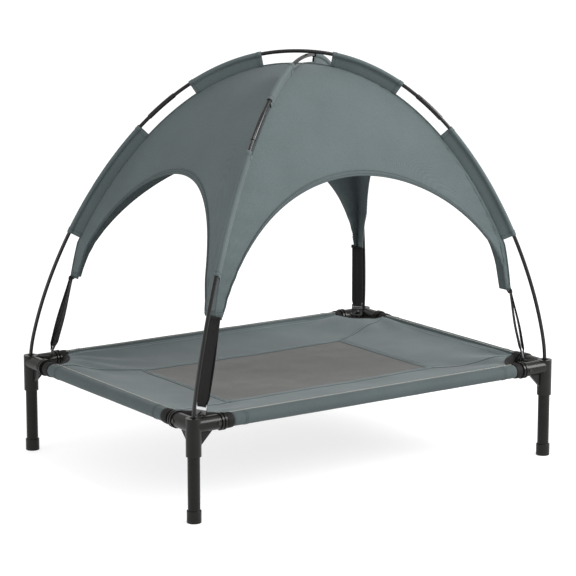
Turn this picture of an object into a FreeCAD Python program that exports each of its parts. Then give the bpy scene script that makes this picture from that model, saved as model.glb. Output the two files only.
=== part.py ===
import FreeCAD, Part
import math
import os

# Raised cot for a dog with a dome canopy over it.
# Frame: X along the cot, Y across it, Z up, origin on the floor under the middle of the cot.
# The four corners are named front/back (-Y/+Y) and left/right (-X/+X).

V = FreeCAD.Vector
doc = FreeCAD.newDocument("ShadedCot")
sheet = doc.addObject("Spreadsheet::Sheet", "Dims")

DIMENSIONS = [
    # bed frame
    ("post_span_x", 890.0), ("post_span_y", 660.0),
    ("tube_dia", 25.0), ("tube_wall", 1.5),
    ("foot_dia", 29.6), ("foot_height", 25.0), ("foot_floor", 3.0), ("foot_round", 2.0),
    ("socket_fit", 0.15),
    ("connector_dia", 31.0), ("connector_bottom", 134.0), ("connector_top", 211.0),
    ("arm_dia", 30.4), ("arm_reach", 70.0), ("rail_height", 195.5), ("rail_socket_start", 26.0),
    ("collar_dia", 35.6), ("collar_width", 4.0), ("collar_inner", 58.0), ("collar_outer", 65.0),
    ("leg_socket_depth", 31.0), ("pole_socket_depth", 43.0), ("pole_socket_dia", 15.0),
    ("gusset_thick", 6.0), ("gusset_reach", 56.0), ("gusset_foot", 154.0),
    ("lug_height", 207.0), ("lug_dia", 6.0), ("lug_reach", 47.5), ("lug_root", 10.0),
    ("rib_reach", 36.0), ("rib_thick", 4.0), ("rib_bottom", 188.0),
    ("screw_station", 51.0), ("screw_shank_dia", 4.0), ("screw_head_dia", 8.0),
    ("screw_head_height", 2.2), ("screw_reach", 7.0), ("screw_seat", 14.6), ("screw_fit", 0.05),
    # fabric bed
    ("sling_thick", 1.3), ("sleeve_gap", 0.3),
    ("sleeve_start_long", 85.0), ("sleeve_start_side", 97.0),
    ("binding_start_long", 71.0), ("binding_start_side", 78.0),
    ("binding_thick", 1.0), ("binding_width", 9.0), ("tray_edge_inset", 12.0),
    ("tray_edge_height", 203.5), ("tray_sag", 22.0),
    ("mesh_half_x", 260.0), ("mesh_half_y", 168.0),
    # canopy poles
    ("pole_dia", 8.0), ("pole_bore_dia", 4.4), ("cord_dia", 2.6), ("pole_tip_gap", 0.4),
    ("pole_flatness", 2.11), ("pole_steepness", 1.42),
    ("pole_a_top", 871.0), ("pole_a_lean", 22.0), ("pole_b_top", 861.5), ("pole_b_lean", 43.0),
    ("ferrule_dia", 10.4), ("ferrule_inner", 256.0), ("ferrule_outer", 308.0),
    ("ferrule_fit", 0.05),
    # canopy cloth
    ("ridge_drop_a", 26.0), ("ridge_drop_b", 17.0), ("ridge_drop_low", 20.0),
    ("ridge_low_start", 470.0), ("ridge_low_run", 90.0),
    ("cloth_thick", 1.2), ("sleeve_lip", 1.4),
    ("sleeve_top_a", 75.0), ("sleeve_top_front", 95.0), ("sleeve_top_back", 45.0),
    ("sleeve_gap_inner", 224.0), ("sleeve_gap_outer", 327.0), ("sleeve_low_end", 474.0),
    ("hem_front_left", 408.0), ("hem_back_left", 400.0),
    ("hem_front_right", 376.0), ("hem_back_right", 388.0),
    ("arch_base", 372.0), ("arch_top", 632.0), ("arch_half_long", 362.0),
    ("arch_half_short", 250.0), ("arch_shift", 13.0), ("arch_power", 1.6),
    # straps that hold the canopy down
    ("strap_width", 25.0), ("strap_end_width", 20.0), ("strap_taper", 14.0), ("strap_layer", 1.3),
    ("strap_spread", 6.4), ("strap_turn", 2.0),
    ("strap_foot_station", 506.0), ("strap_foot_height", 226.0),
    ("plate_width", 25.0), ("plate_thick", 2.5), ("plate_bar", 1.7), ("plate_length", 27.0),
    ("plate_round", 4.0), ("slot_half", 10.5), ("slot_low", 4.7), ("eye_dia", 13.0),
    ("eye_drop", 19.5),
]
for row, (alias, value) in enumerate(DIMENSIONS, start=1):
    sheet.set("A%d" % row, alias)
    sheet.set("B%d" % row, str(value))
    sheet.setAlias("B%d" % row, alias)
doc.recompute()


def dim(alias):
    return float(sheet.get(alias))


CORNERS = {
    "front_left": (-1, -1),
    "back_left": (-1, 1),
    "front_right": (1, -1),
    "back_right": (1, 1),
}
HALF_DIAGONAL = math.hypot(dim("post_span_x"), dim("post_span_y")) / 2
DIAGONAL_ANGLE = math.degrees(math.atan2(dim("post_span_y"), dim("post_span_x")))
nodes = []


def node(obj, label):
    obj.Label = label
    nodes.append(obj)
    return obj


def place(obj, base, turn=None):
    """Give obj a rotation and bind its position to sheet expressions."""
    obj.Placement = FreeCAD.Placement(V(), turn or FreeCAD.Rotation())
    for axis, expression in zip("xyz", base):
        obj.setExpression("Placement.Base." + axis, expression)
    return obj


def cylinder(name, radius, height, base, direction=V(0, 0, 1)):
    obj = doc.addObject("Part::Cylinder", name)
    obj.setExpression("Radius", radius)
    obj.setExpression("Height", height)
    return place(obj, base, FreeCAD.Rotation(V(0, 0, 1), direction))


def box(name, size, base, turn=None):
    obj = doc.addObject("Part::Box", name)
    for prop, expression in zip(("Length", "Width", "Height"), size):
        obj.setExpression(prop, expression)
    return place(obj, base, turn)


def fuse(name, shapes):
    obj = doc.addObject("Part::MultiFuse", name)
    obj.Shapes = shapes
    return obj


def cut(name, base, tool):
    obj = doc.addObject("Part::Cut", name)
    obj.Base = base
    obj.Tool = tool
    return obj


def corner_xy(sx, sy):
    return "%d * Dims.post_span_x / 2" % sx, "%d * Dims.post_span_y / 2" % sy


# ---------------------------------------------------------------- legs and feet

def build_leg(corner, sx, sy):
    x, y = corner_xy(sx, sy)
    top = "(Dims.connector_bottom + Dims.leg_socket_depth - Dims.foot_floor)"
    outer = cylinder("leg_outer_" + corner, "Dims.tube_dia / 2", top, (x, y, "Dims.foot_floor"))
    bore = cylinder("leg_bore_" + corner, "Dims.tube_dia / 2 - Dims.tube_wall",
                    top + " + 2", (x, y, "Dims.foot_floor - 1"))
    node(cut("leg_" + corner, outer, bore), "leg_tube_" + corner)


def build_foot(corner, sx, sy):
    x, y = corner_xy(sx, sy)
    shell = cylinder("foot_shell_" + corner, "Dims.foot_dia / 2", "Dims.foot_height", (x, y, "0"))
    bore = cylinder("foot_bore_" + corner, "Dims.tube_dia / 2 + Dims.socket_fit",
                    "Dims.foot_height", (x, y, "Dims.foot_floor"))
    cup = cut("foot_cup_" + corner, shell, bore)
    doc.recompute()
    rim_radius = dim("foot_dia") / 2
    rims = [i for i, edge in enumerate(cup.Shape.Edges, start=1)
            if isinstance(edge.Curve, Part.Circle) and abs(edge.Curve.Radius - rim_radius) < 1e-6]
    foot = doc.addObject("Part::Fillet", "foot_" + corner)
    foot.Base = cup
    foot.Edges = [(i, dim("foot_round") / 2, dim("foot_round") / 2) for i in rims]
    node(foot, "foot_cap_" + corner)


# ---------------------------------------------------------------- corner connectors

def arm_frames(sx, sy):
    """Both arms of a corner: (letter, direction of the arm, outward side that takes the screw)."""
    return (("x", V(-sx, 0, 0), V(0, sy, 0)), ("y", V(0, -sy, 0), V(sx, 0, 0)))


def along(base_x, base_y, direction, distance):
    """Expressions for the point at a distance along a level direction from the post axis."""
    return ("%s + %d * (%s)" % (base_x, direction.x, distance),
            "%s + %d * (%s)" % (base_y, direction.y, distance),
            "Dims.rail_height")


def beside(base, side, distance):
    """Expressions for the point at a level distance to one side of another."""
    return ("%s + %d * %s" % (base[0], side.x, distance),
            "%s + %d * %s" % (base[1], side.y, distance), base[2])


def build_gusset(name, x, y, direction):
    wedge = doc.addObject("Part::Wedge", name)
    bounds = {
        "Xmin": "0", "Xmax": "Dims.connector_dia / 2",
        "X2min": "0", "X2max": "Dims.gusset_reach",
        "Ymin": "Dims.gusset_foot", "Ymax": "Dims.rail_height",
        "Zmin": "-Dims.gusset_thick / 2", "Zmax": "Dims.gusset_thick / 2",
        "Z2min": "-Dims.gusset_thick / 2", "Z2max": "Dims.gusset_thick / 2",
    }
    for prop, expression in bounds.items():
        wedge.setExpression(prop, expression)
    heading = math.degrees(math.atan2(direction.y, direction.x))
    turn = FreeCAD.Rotation(V(0, 0, 1), heading).multiply(FreeCAD.Rotation(V(1, 0, 0), 90))
    return place(wedge, (x, y, "0"), turn)


def build_lug(corner, sx, sy, x, y):
    """Peg in the crotch of the arms, on a thin rib, that the strap's eye hooks over."""
    inward = V(-sx * dim("post_span_x"), -sy * dim("post_span_y"), 0).normalize()
    turn = FreeCAD.Rotation(V(0, 0, 1), math.degrees(math.atan2(inward.y, inward.x)))
    across = turn.multVec(V(0, -1, 0))
    peg_base = ["%s + %.9f * Dims.lug_root" % (centre, step)
                for centre, step in ((x, inward.x), (y, inward.y))]
    peg = cylinder("lug_peg_" + corner, "Dims.lug_dia / 2", "Dims.lug_reach - Dims.lug_root",
                   (peg_base[0], peg_base[1], "Dims.lug_height"), inward)
    rib_base = ["%s + %.9f * Dims.rib_thick / 2" % (base, step)
                for base, step in ((peg_base[0], across.x), (peg_base[1], across.y))]
    rib = box("lug_rib_" + corner,
              ("Dims.rib_reach - Dims.lug_root", "Dims.rib_thick", "Dims.lug_height - Dims.rib_bottom"),
              (rib_base[0], rib_base[1], "Dims.rib_bottom"), turn)
    return [peg, rib]


def build_connector(corner, sx, sy):
    x, y = corner_xy(sx, sy)
    bottom = "Dims.connector_bottom"
    solid = [cylinder("post_" + corner, "Dims.connector_dia / 2",
                      "Dims.connector_top - Dims.connector_bottom", (x, y, bottom))]
    hollow = [
        cylinder("leg_socket_" + corner, "Dims.tube_dia / 2 + Dims.socket_fit",
                 "Dims.leg_socket_depth + 1", (x, y, bottom + " - 1")),
        cylinder("pole_socket_" + corner, "Dims.pole_socket_dia / 2", "Dims.pole_socket_depth + 1",
                 (x, y, "Dims.connector_top - Dims.pole_socket_depth")),
    ]
    for letter, direction, side in arm_frames(sx, sy):
        tag = "%s_%s" % (letter, corner)
        solid.append(cylinder("arm_" + tag, "Dims.arm_dia / 2", "Dims.arm_reach",
                              (x, y, "Dims.rail_height"), direction))
        for collar in ("collar_inner", "collar_outer"):
            solid.append(cylinder(collar + "_" + tag, "Dims.collar_dia / 2", "Dims.collar_width",
                                  along(x, y, direction, "Dims." + collar), direction))
        solid.append(build_gusset("gusset_" + tag, x, y, direction))
        hollow.append(cylinder("rail_socket_" + tag, "Dims.tube_dia / 2 + Dims.socket_fit",
                               "Dims.arm_reach", along(x, y, direction, "Dims.rail_socket_start"),
                               direction))
        station = along(x, y, direction, "Dims.screw_station")
        hollow.append(cylinder("screw_hole_" + tag,
                               "Dims.screw_shank_dia / 2 + Dims.screw_fit", "Dims.arm_dia",
                               station, side))
        hollow.append(cylinder("screw_seat_" + tag,
                               "Dims.screw_head_dia / 2 + Dims.screw_fit", "Dims.arm_dia",
                               beside(station, side, "Dims.screw_seat"), side))
    solid += build_lug(corner, sx, sy, x, y)
    body = fuse("connector_body_" + corner, solid)
    sockets = fuse("connector_sockets_" + corner, hollow)
    node(cut("connector_" + corner, body, sockets), "corner_connector_" + corner)


# ---------------------------------------------------------------- rails and their screws

def build_rail(label, along_x, sign):
    """A tube between two connectors, with a screw hole near each end."""
    length = "Dims.post_span_%s - 2 * Dims.rail_socket_start" % ("x" if along_x else "y")
    if along_x:
        direction, side = V(1, 0, 0), V(0, sign, 0)
        start = ("-Dims.post_span_x / 2 + Dims.rail_socket_start", "%d * Dims.post_span_y / 2" % sign)
    else:
        direction, side = V(0, 1, 0), V(sign, 0, 0)
        start = ("%d * Dims.post_span_x / 2" % sign, "-Dims.post_span_y / 2 + Dims.rail_socket_start")
    base = (start[0], start[1], "Dims.rail_height")
    outer = cylinder("outer_" + label, "Dims.tube_dia / 2", length, base, direction)
    hollow = [cylinder("bore_" + label, "Dims.tube_dia / 2 - Dims.tube_wall", length, base, direction)]
    ends = [(sx, sy) for sx, sy in CORNERS.values() if (sy if along_x else sx) == sign]
    for index, (sx, sy) in enumerate(ends):
        x, y = corner_xy(sx, sy)
        inward = V(-sx, 0, 0) if along_x else V(0, -sy, 0)
        hollow.append(cylinder("hole_%s_%d" % (label, index),
                               "Dims.screw_shank_dia / 2 + Dims.screw_fit", "Dims.arm_dia",
                               along(x, y, inward, "Dims.screw_station"), side))
    node(cut("rail_" + label, outer, fuse("rail_hollow_" + label, hollow)), label)


def build_screws():
    parts = []
    for corner, (sx, sy) in CORNERS.items():
        x, y = corner_xy(sx, sy)
        for letter, direction, side in arm_frames(sx, sy):
            tag = "%s_%s" % (letter, corner)
            station = along(x, y, direction, "Dims.screw_station")
            shank_start = "(Dims.arm_dia / 2 - Dims.screw_reach)"
            for piece, radius, start, length in (
                    ("shank", "Dims.screw_shank_dia / 2", shank_start, "Dims.screw_reach"),
                    ("head", "Dims.screw_head_dia / 2", "Dims.screw_seat", "Dims.screw_head_height")):
                parts.append(cylinder("screw_%s_%s" % (piece, tag), radius, length,
                                      beside(station, side, start), side))
    node(fuse("screws", parts), "rail_screws")


# ---------------------------------------------------------------- fabric bed

RAIL_Z = dim("rail_height")
HALF_X = dim("post_span_x") / 2
HALF_Y = dim("post_span_y") / 2


def tray_height(x, y):
    """Height of the stretched cloth: level along the rails, slack towards the middle."""
    reach_x = HALF_X - dim("tray_edge_inset")
    reach_y = HALF_Y - dim("tray_edge_inset")
    drop = (1 - (x / reach_x) ** 4) * (1 - (y / reach_y) ** 4)
    return dim("tray_edge_height") - dim("tray_sag") * drop


def tray_solid():
    steps = 12
    reach_x = HALF_X - dim("tray_edge_inset")
    reach_y = HALF_Y - dim("tray_edge_inset")
    rows = []
    for i in range(steps + 1):
        x = reach_x * (2 * i / steps - 1)
        line = [reach_y * (2 * j / steps - 1) for j in range(steps + 1)]
        rows.append([V(x, y, tray_height(x, y)) for y in line])
    surface = Part.BSplineSurface()
    surface.interpolate(rows)
    return surface.toShape().extrude(V(0, 0, -dim("sling_thick")))


def prism(points):
    """Upright prism over a plan outline, tall enough to cut the whole bed."""
    outline = [V(x, y, 0) for x, y in points]
    return Part.Face(Part.makePolygon(outline + outline[:1])).extrude(V(0, 0, 2 * RAIL_Z))


def tube_shape(start, direction, length, inner, outer):
    return Part.makeCylinder(outer, length, start, direction).cut(
        Part.makeCylinder(inner, length, start, direction))


def sleeve_shape(along_x, sign):
    inner = dim("tube_dia") / 2 + dim("sleeve_gap")
    outer = inner + dim("sling_thick")
    if along_x:
        half = HALF_X - dim("sleeve_start_long")
        return tube_shape(V(-half, sign * HALF_Y, RAIL_Z), V(1, 0, 0), 2 * half, inner, outer)
    half = HALF_Y - dim("sleeve_start_side")
    return tube_shape(V(sign * HALF_X, -half, RAIL_Z), V(0, 1, 0), 2 * half, inner, outer)


def rail_core(along_x, sign):
    """The space inside a sleeve, cleared out of the cloth that meets it."""
    radius = dim("tube_dia") / 2 + dim("sleeve_gap")
    if along_x:
        return Part.makeCylinder(radius, 2 * HALF_X, V(-HALF_X, sign * HALF_Y, RAIL_Z), V(1, 0, 0))
    return Part.makeCylinder(radius, 2 * HALF_Y, V(sign * HALF_X, -HALF_Y, RAIL_Z), V(0, 1, 0))


def add_shape(shape, label):
    obj = doc.addObject("Part::Feature", label + "_shape")
    obj.Shape = shape
    return node(obj, label)


def seam_points():
    """Plan points of the bed cloth in the first quadrant."""
    edge_x = HALF_X - dim("tray_edge_inset")
    edge_y = HALF_Y - dim("tray_edge_inset")
    cut_x = HALF_X - dim("sleeve_start_long")
    cut_y = HALF_Y - dim("sleeve_start_side")
    return edge_x, edge_y, cut_x, cut_y


def build_sling():
    tray = tray_solid()
    edge_x, edge_y, cut_x, cut_y = seam_points()
    mesh_x, mesh_y = dim("mesh_half_x"), dim("mesh_half_y")
    for name, sign in (("front", -1), ("back", 1)):
        outline = [(-cut_x, sign * edge_y), (cut_x, sign * edge_y), (edge_x, sign * cut_y),
                   (mesh_x, sign * mesh_y), (-mesh_x, sign * mesh_y), (-edge_x, sign * cut_y)]
        panel = tray.common(prism(outline)).cut(rail_core(True, sign))
        for side in (-1, 1):
            panel = panel.cut(rail_core(False, side))
        add_shape(panel.fuse(sleeve_shape(True, sign)).removeSplitter(), "sling_strip_" + name)
    for name, sign in (("left", -1), ("right", 1)):
        outline = [(sign * edge_x, -cut_y), (sign * edge_x, cut_y),
                   (sign * mesh_x, mesh_y), (sign * mesh_x, -mesh_y)]
        panel = tray.common(prism(outline)).cut(rail_core(False, sign))
        add_shape(panel.fuse(sleeve_shape(False, sign)).removeSplitter(), "sling_end_" + name)
    outline = [(-mesh_x, -mesh_y), (mesh_x, -mesh_y), (mesh_x, mesh_y), (-mesh_x, mesh_y)]
    add_shape(tray.common(prism(outline)), "mesh_panel")


def build_binding(corner, sx, sy):
    """Tape round both sleeve ends and along the cut-out corner between them."""
    inner = dim("tube_dia") / 2 + dim("sleeve_gap")
    outer = inner + dim("sling_thick") + dim("binding_thick")
    start_x = V(sx * (HALF_X - dim("binding_start_long")), sy * HALF_Y, RAIL_Z)
    start_y = V(sx * HALF_X, sy * (HALF_Y - dim("binding_start_side")), RAIL_Z)
    long_ring = dim("sleeve_start_long") - dim("binding_start_long")
    side_ring = dim("sleeve_start_side") - dim("binding_start_side")
    rings = [tube_shape(start_x, V(-sx, 0, 0), long_ring, inner, outer),
             tube_shape(start_y, V(0, -sy, 0), side_ring, inner, outer)]
    edge_x, edge_y, cut_x, cut_y = seam_points()
    slant = V(edge_x - cut_x, cut_y - edge_y, 0).normalize()
    outward = V(-slant.y, slant.x, 0) * dim("binding_width")
    a, b = V(cut_x, edge_y, 0), V(edge_x, cut_y, 0)
    outline = [(sx * p.x, sy * p.y) for p in (a, b, b + outward, a + outward)]
    top = dim("tray_edge_height")
    slab = prism(outline).common(Part.makeBox(4 * HALF_X, 4 * HALF_Y, dim("sling_thick"),
                                              V(-2 * HALF_X, -2 * HALF_Y, top - dim("sling_thick"))))
    for core in (rail_core(True, sy), rail_core(False, sx)):
        slab = slab.cut(core)
    add_shape(rings[0].fuse([rings[1], slab]).removeSplitter(), "corner_binding_" + corner)


# ---------------------------------------------------------------- canopy poles

LEAN_DIRECTION = V(dim("post_span_x"), -dim("post_span_y"), 0).normalize()
POLE_BASE = dim("connector_top")
POLES = {
    "a": {"run": V(dim("post_span_x"), -dim("post_span_y"), 0).normalize(),
          "corners": {-1: "back_left", 1: "front_right"}},
    "b": {"run": V(dim("post_span_x"), dim("post_span_y"), 0).normalize(),
          "corners": {-1: "front_left", 1: "back_right"}},
}
FOOT_SCALE = 100.0
FOOT_ANGLE = math.pi / 2 + (dim("pole_socket_depth") - dim("pole_tip_gap")) / FOOT_SCALE
HALF_OF = {corner: (pole, side) for pole, data in POLES.items()
           for side, corner in data["corners"].items()}


def pole_angle(station):
    """Curve parameter, 0 at the top and a quarter turn at the foot, for a distance from the middle."""
    return math.asin((abs(station) / HALF_DIAGONAL) ** (dim("pole_flatness") / 2))


def rise_direction(pole):
    """Upward direction in the plane of a pole, tilted by its lean."""
    height = dim("pole_%s_top" % pole) - POLE_BASE
    return (LEAN_DIRECTION * dim("pole_%s_lean" % pole) + V(0, 0, height)).normalize()


def pole_point(pole, side, angle):
    """Centre line of one bent pole: a rounded arch that leans a little to one side.

    Angles past a quarter turn run straight on, down into the connector.
    """
    if angle > math.pi / 2:
        foot = POLES[pole]["run"] * (side * HALF_DIAGONAL) + V(0, 0, POLE_BASE)
        return foot - rise_direction(pole) * ((angle - math.pi / 2) * FOOT_SCALE)
    reach = HALF_DIAGONAL * math.sin(angle) ** (2 / dim("pole_flatness"))
    rise = max(math.cos(angle), 0.0) ** (2 / dim("pole_steepness"))
    height = dim("pole_%s_top" % pole) - POLE_BASE
    return (POLES[pole]["run"] * (side * reach) + LEAN_DIRECTION * (dim("pole_%s_lean" % pole) * rise)
            + V(0, 0, POLE_BASE + height * rise))


def pole_tangent(pole, side, angle):
    step = 1e-3
    ahead = min(angle + step, math.pi / 2)
    behind = max(angle - step, 1e-9)
    return (pole_point(pole, side, ahead) - pole_point(pole, side, behind)).normalize()


def arch_normal(pole):
    """Normal of the flat plane that a bent pole lies in."""
    return POLES[pole]["run"].cross(rise_direction(pole)).normalize()


def inward_normal(pole, side, angle):
    """Unit vector across the pole, in its own plane, towards the inside of the arch."""
    return pole_tangent(pole, side, angle).cross(arch_normal(pole)) * side


def ridge_point(pole, side, angle, lift=0.0):
    """Seam where two gores meet, hung inside the pole; lift moves it back towards the pole."""
    top_drop = dim("ridge_drop_" + pole)
    drop = top_drop + (dim("ridge_drop_a") - top_drop) * math.sin(angle)
    point = pole_point(pole, side, angle)
    below = dim("ridge_low_start") - point.z
    if below > 0:
        drop += dim("ridge_drop_low") * min(1.0, below / dim("ridge_low_run"))
    return point + inward_normal(pole, side, angle) * (drop - lift)


def angle_at_height(pole, height):
    rise = (height - POLE_BASE) / (dim("pole_%s_top" % pole) - POLE_BASE)
    return math.acos(rise ** (dim("pole_steepness") / 2))


def spread(first, last, count):
    return [first + (last - first) * i / (count - 1) for i in range(count)]


def spline(points):
    curve = Part.BSplineCurve()
    curve.interpolate(points)
    return curve.toShape()


def arch_path(pole, ends, count):
    """Centre-line edge between two signed angles (negative is the first half of the pole)."""
    return spline([pole_point(pole, -1 if t < 0 else 1, abs(t)) for t in spread(ends[0], ends[1], count)])


def swept_rod(path, radius, faces=2):
    """Round rod along a path, its skin made as narrow faces side by side."""
    start = path.valueAt(path.FirstParameter)
    circle = Part.Circle(start, path.tangentAt(path.FirstParameter), radius)
    turn = 2 * math.pi / faces
    arcs = [circle.toShape(index * turn, (index + 1) * turn) for index in range(faces)]
    return Part.Wire([path]).makePipeShell([Part.Wire(arcs)], True, False)


def swept_tube(pole, ends, count, inner, outer):
    """Hollow rod along a pole; the bore's cutter runs a little past both ends."""
    overrun = math.copysign(0.01, ends[1] - ends[0])
    longer = (ends[0] - overrun, ends[1] + overrun)
    return swept_rod(arch_path(pole, ends, count), outer).cut(
        swept_rod(arch_path(pole, longer, count), inner))


def build_pole(pole):
    bore, radius = dim("pole_bore_dia") / 2, dim("pole_dia") / 2
    joint = pole_angle((dim("ferrule_inner") + dim("ferrule_outer")) / 2)
    add_shape(swept_tube(pole, (-joint, joint), 15, bore, radius), "pole_top_" + pole)
    for side, corner in POLES[pole]["corners"].items():
        lower = swept_tube(pole, (side * joint, side * FOOT_ANGLE), 13, bore, radius)
        add_shape(lower, "pole_lower_" + corner)
        ends = (side * pole_angle(dim("ferrule_inner")), side * pole_angle(dim("ferrule_outer")))
        ferrule = swept_tube(pole, ends, 5, radius + dim("ferrule_fit"), dim("ferrule_dia") / 2)
        add_shape(ferrule, "pole_ferrule_" + corner)
    cord = arch_path(pole, (-FOOT_ANGLE, FOOT_ANGLE), 41)
    add_shape(swept_rod(cord, dim("cord_dia") / 2, 8), "shock_cord_" + pole)


# ---------------------------------------------------------------- canopy cloth

GORES = {
    "front": ("front_left", "front_right"),
    "back": ("back_left", "back_right"),
    "left": ("front_left", "back_left"),
    "right": ("front_right", "back_right"),
}
OUTWARD = {"front": V(0, -1, 1), "back": V(0, 1, 1), "left": V(-1, 0, 1), "right": V(1, 0, 1)}


def ridge_row(corner, fraction):
    pole, side = HALF_OF[corner]
    low = angle_at_height(pole, dim("hem_" + corner))
    return ridge_point(pole, side, max(low * fraction, 1e-4))


def arch_prism(name):
    """Cutter for the opening under one gore, a rounded arch seen from that side."""
    along_x = name in ("front", "back")
    half = dim("arch_half_long") if along_x else dim("arch_half_short")
    middle = dim("arch_shift") if along_x else 0.0
    rise = dim("arch_top") - dim("arch_base")
    outline = []
    for angle in spread(0, math.pi, 25):
        across = middle + half * math.cos(angle)
        up = dim("arch_base") + rise * max(math.sin(angle), 0.0) ** (2 / dim("arch_power"))
        outline.append(V(across, 0, up) if along_x else V(0, across, up))
    below = V(0, 0, -(dim("arch_base") - POLE_BASE))
    first, last = outline[0], outline[-1]
    wire = Part.Wire([spline(outline), Part.makeLine(last, last + below),
                      Part.makeLine(last + below, first + below), Part.makeLine(first + below, first)])
    reach = OUTWARD[name] * (2 * HALF_X)
    return Part.Face(wire).extrude(V(reach.x, reach.y, 0))


def build_gore(name):
    first, second = GORES[name]
    tiny = 0.012
    rows = []
    for fraction in spread(tiny, 1.0, 15):
        a, b = ridge_row(first, fraction), ridge_row(second, fraction)
        rows.append([a + (b - a) * (i / 4) for i in range(5)])
    surface = Part.BSplineSurface()
    surface.interpolate(rows)
    thickness = V(OUTWARD[name]).normalize() * dim("cloth_thick")
    gore = surface.toShape().extrude(thickness).cut(arch_prism(name))
    add_shape(gore, "canopy_gore_" + name)


def build_pole_sleeve(corner, part, inner_station, outer_station):
    """Cloth tunnel round the pole and the strip that joins it to the ridge seam."""
    pole, side = HALF_OF[corner]
    angles = spread(pole_angle(inner_station), pole_angle(outer_station), 9)
    clear = dim("pole_dia") / 2 + dim("sleeve_gap")
    wall_middle = clear + dim("cloth_thick") / 2
    outer_edge = [pole_point(pole, side, t) + inward_normal(pole, side, t) * wall_middle for t in angles]
    inner_edge = [ridge_point(pole, side, t, dim("sleeve_lip")) for t in angles]
    half = arch_normal(pole) * (dim("cloth_thick") / 2)
    wire = Part.Wire([spline([p - half for p in inner_edge]),
                      Part.makeLine(inner_edge[-1] - half, outer_edge[-1] - half),
                      spline([p - half for p in reversed(outer_edge)]),
                      Part.makeLine(outer_edge[0] - half, inner_edge[0] - half)])
    fin = Part.Face(wire).extrude(half * 2)
    tunnel = swept_tube(pole, (side * angles[0], side * angles[-1]), 9,
                        clear, clear + dim("cloth_thick"))
    add_shape(tunnel.fuse(fin), "pole_sleeve_%s_%s" % (part, corner))


def build_sleeves(corner):
    top = {"front_left": "sleeve_top_front", "back_right": "sleeve_top_back"}.get(corner, "sleeve_top_a")
    build_pole_sleeve(corner, "upper", dim(top), dim("sleeve_gap_inner"))
    build_pole_sleeve(corner, "lower", dim("sleeve_gap_outer"), dim("sleeve_low_end"))


# ---------------------------------------------------------------- hold-down straps

def strap_frame(corner):
    """Top of the strap, its foot, and unit vectors across it, down it and out of its face."""
    sx, sy = CORNERS[corner]
    corner_way = V(sx * HALF_X, sy * HALF_Y, 0).normalize()
    hem = ridge_row(corner, 1.0)
    foot = corner_way * dim("strap_foot_station") + V(0, 0, dim("strap_foot_height"))
    down = (foot - hem).normalize()
    across = down.cross(V(0, 0, 1)).normalize()
    out = across.cross(down).normalize()
    if out.dot(corner_way) < 0:
        out = out * -1
    return hem, foot, across, down, out


def local_outline(corner, points, shift=0.0):
    """Points given as (across, down) on the strap's plane, moved out of the plane by shift."""
    hem, foot, across, down, out = strap_frame(corner)
    return [foot + across * a + down * d + out * shift for a, d in points]


def loop_section(corner, half_gap, start, turn):
    """Side view of a strap loop, from its sewn top to the turn at its foot, as a face."""
    hem, foot, across, down, out = strap_frame(corner)
    length = (foot - hem).Length
    stations = [(start, half_gap[0]), (length * 0.6, half_gap[1]), (length, turn)]
    right = [hem + down * d + out * o for d, o in stations]
    left = [hem + down * d - out * o for d, o in reversed(stations)]
    arc = Part.Arc(right[-1], foot + down * turn, left[0]).toShape()
    return Part.Face(Part.Wire([spline(right), arc, spline(left), Part.makeLine(left[-1], right[0])]))


def build_strap(corner):
    """Elastic band doubled through the slot of the eye plate, both ends sewn into the hem."""
    hem, foot, across, down, out = strap_frame(corner)
    layer, turn, spread_half = dim("strap_layer"), dim("strap_turn"), dim("strap_spread") / 2
    start = 2 * layer
    wide, narrow = dim("strap_width") / 2, dim("strap_end_width") / 2
    outer = loop_section(corner, (layer, spread_half + layer / 2), start, turn + layer)
    inner = loop_section(corner, (0.1, spread_half - layer / 2), start + 2 * layer, turn)
    loop = outer.extrude(across * (2 * wide)).cut(inner.extrude(across * (2 * wide)))
    loop.translate(across * -wide)
    reach = 2 * wide
    for way in (-1, 1):
        outline = [(way * wide, -dim("strap_taper")), (way * narrow, -layer), (way * narrow, reach),
                   (way * reach, reach), (way * reach, -dim("strap_taper"))]
        trim = Part.makePolygon(local_outline(corner, outline + outline[:1], -reach))
        loop = loop.cut(Part.Face(trim).extrude(out * (2 * reach)))
    add_shape(loop, "hold_strap_" + corner)


def build_eye_plate(corner):
    """Steel plate with a slot for the strap and an eye that drops over the connector's peg."""
    hem, foot, across, down, out = strap_frame(corner)
    half, thick = dim("plate_width") / 2, dim("plate_thick")
    low, high, slot = dim("plate_length"), -dim("plate_bar"), dim("slot_half")
    body = Part.Face(Part.makePolygon(local_outline(
        corner, [(-half, high), (half, high), (half, low), (-half, low), (-half, high)], -thick / 2)))
    plate = body.extrude(out * thick)
    side_edges = [edge for edge in plate.Edges if abs(edge.Length - thick) < 1e-6]
    plate = plate.makeFillet(dim("plate_round"), [edge for edge in side_edges
                                                  if (edge.CenterOfMass - foot).dot(down) > low / 2])
    bar = dim("plate_bar")
    window = Part.Face(Part.makePolygon(local_outline(
        corner, [(-slot, bar), (slot, bar), (slot, dim("slot_low")), (-slot, dim("slot_low")),
                 (-slot, bar)], -thick)))
    eye_start = foot + down * dim("eye_drop") - out * thick
    eye = Part.makeCylinder(dim("eye_dia") / 2, 2 * thick, eye_start, out)
    add_shape(plate.cut(window.extrude(out * (2 * thick))).cut(eye), "strap_eye_plate_" + corner)


# ---------------------------------------------------------------- build, check and export

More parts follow.
